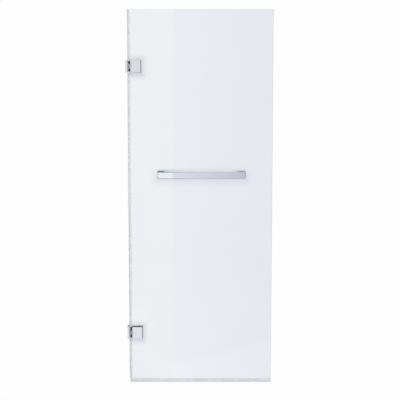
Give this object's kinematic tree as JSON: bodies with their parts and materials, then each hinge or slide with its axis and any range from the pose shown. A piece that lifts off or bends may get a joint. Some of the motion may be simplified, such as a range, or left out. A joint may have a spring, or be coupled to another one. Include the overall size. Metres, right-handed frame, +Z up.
{
  "type": "pivot tub door",
  "caption": "Frameless clear glass tub door on square wall hinges, with a square towel bar, a clear hinge-edge seal and a bottom sweep.",
  "frame": {"origin": "centre of the lower hinge's two wall screws, on the wall face of its block", "axes": "+Z up; -X into the wall; +X along the closed door; -Y towards the towel bar side, which is the outside of the bath"},
  "size_m": [0.5706, 0.065, 1.4715],
  "materials": {
    "glass": "clear polished",
    "chrome": "polished",
    "steel": "turned",
    "clear_vinyl": "clear",
    "soft_vinyl": "clear, soft",
    "gasket": "matt",
    "bush_plastic": "moulded"
  },
  "bodies": {
    "wall_side": {"lower_wall_block": "chrome", "lower_pivot_pin": "steel", "lower_pin_lock_screw": "steel", "upper_wall_block": "chrome", "upper_pivot_pin": "steel", "upper_pin_lock_screw": "steel"},
    "door": {"glass_panel": "glass", "lower_front_clamp_plate": "chrome", "lower_rear_clamp_body": "chrome", "lower_front_gasket": "gasket", "lower_rear_gasket": "gasket", "lower_pivot_bushes": "bush_plastic", "lower_clamp_screws": "steel", "lower_screw_sleeves": "bush_plastic", "lower_detent_springs": "steel", "lower_detent_stop_screws": "steel", "upper_front_clamp_plate": "chrome", "upper_rear_clamp_body": "chrome", "upper_front_gasket": "gasket", "upper_rear_gasket": "gasket", "upper_pivot_bushes": "bush_plastic", "upper_clamp_screws": "steel", "upper_screw_sleeves": "bush_plastic", "upper_detent_springs": "steel", "upper_detent_stop_screws": "steel", "lower_edge_seal": "clear_vinyl", "middle_edge_seal": "clear_vinyl", "upper_edge_seal": "clear_vinyl", "sweep_carrier": "clear_vinyl", "sweep_wiper": "soft_vinyl", "towel_bar": "chrome", "bar_end_caps": "chrome", "left_bar_post": "chrome", "right_bar_post": "chrome", "bar_grub_screws": "steel", "bar_front_washers": "gasket", "bar_hole_sleeves": "bush_plastic", "bar_rear_washers": "gasket", "bar_rear_discs": "chrome", "bar_bolts": "steel"},
    "lower_detents": {"lower_detent_plungers": "steel"},
    "upper_detents": {"upper_detent_plungers": "steel"}
  },
  "joints": [
    {"name": "door_swing", "type": "hinge", "parent": "wall_side", "child": "door", "pos_m": [0.0195, 0, 0], "axis": [0, 0, 1], "range_deg": [-90, 90]},
    {"name": "lower_detent_slide", "type": "slide", "parent": "door", "child": "lower_detents", "axis": [1, 0, 0], "range_m": [-0.0008, 0], "stiffness_N_per_m": 400, "springref_m": -0.004, "deforming": ["lower_detent_springs"]},
    {"name": "upper_detent_slide", "type": "slide", "parent": "door", "child": "upper_detents", "axis": [1, 0, 0], "range_m": [-0.0008, 0], "stiffness_N_per_m": 400, "springref_m": -0.004, "deforming": ["upper_detent_springs"]}
  ]
}
